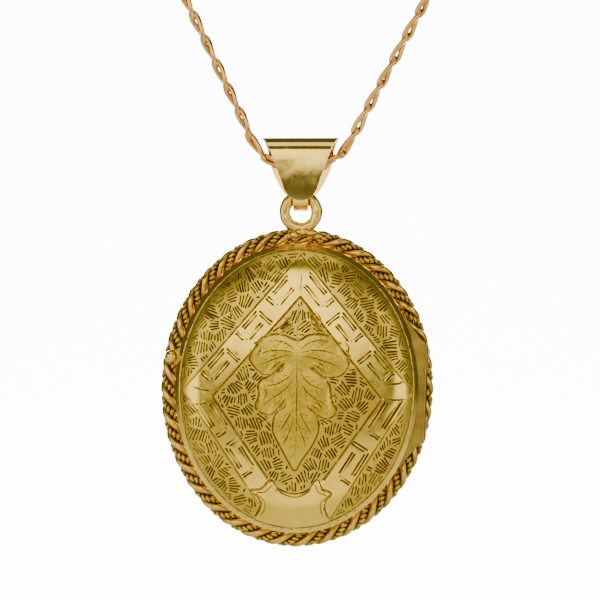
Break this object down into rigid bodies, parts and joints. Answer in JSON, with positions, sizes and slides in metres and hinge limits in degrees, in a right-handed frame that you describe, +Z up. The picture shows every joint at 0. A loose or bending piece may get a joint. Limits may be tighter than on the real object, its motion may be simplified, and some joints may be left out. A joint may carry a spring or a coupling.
{
  "type": "locket",
  "caption": "Oval hinged locket with an engraved domed lid, a rope border and glazed picture frames inside, hung by a ring and a tapered bail from a fine curb chain.",
  "frame": {"origin": "centre of the bail's fold, where the chain carries the locket", "axes": "+Z up as it hangs, -Y out of the engraved front, +X to the right of someone looking at the front"},
  "size_m": [0.0333, 0.0084, 0.068],
  "materials": {
    "lid_gold": "polished and engraved",
    "case_gold": "polished",
    "inner_gold": "satin",
    "rope_gold": "polished, darkened in the grooves",
    "solder_gold": "worn polish",
    "bail_gold": "polished",
    "chain_rose_gold": "polished",
    "glass": "clear",
    "card": "matt"
  },
  "bodies": {
    "chain": {"necklace_chain": "chain_rose_gold", "chain_end_ring_left": "chain_rose_gold", "chain_end_ring_right": "chain_rose_gold"},
    "bail": {"bail": "bail_gold"},
    "case": {"back_cover": "case_gold", "snap_lip": "inner_gold", "back_seat": "inner_gold", "back_card": "card", "back_glass": "glass", "back_frame": "inner_gold", "back_hinge_leaf": "case_gold", "hinge_pin": "case_gold", "rope_border": "rope_gold", "hanging_ring": "solder_gold"},
    "lid": {"front_cover": "lid_gold", "lid_rim": "inner_gold", "lid_seat": "inner_gold", "lid_card": "card", "lid_glass": "glass", "lid_frame": "inner_gold", "lid_hinge_leaf": "case_gold", "thumb_tab": "case_gold", "thumb_bead": "case_gold"}
  },
  "joints": [
    {"name": "bail_swing", "type": "hinge", "parent": "chain", "child": "bail", "pos_m": [0, 0, 0], "axis": [1, 0, 0], "range_deg": [-30, 30]},
    {"name": "case_swing", "type": "hinge", "parent": "bail", "child": "case", "pos_m": [0, 0, -0.00489], "axis": [1, 0, 0], "range_deg": [-60, 40]},
    {"name": "lid_hinge", "type": "hinge", "parent": "case", "child": "lid", "pos_m": [0.01451, -0.0009, -0.02815], "axis": [0.0349, 0, 0.9994], "range_deg": [0, 130]}
  ]
}
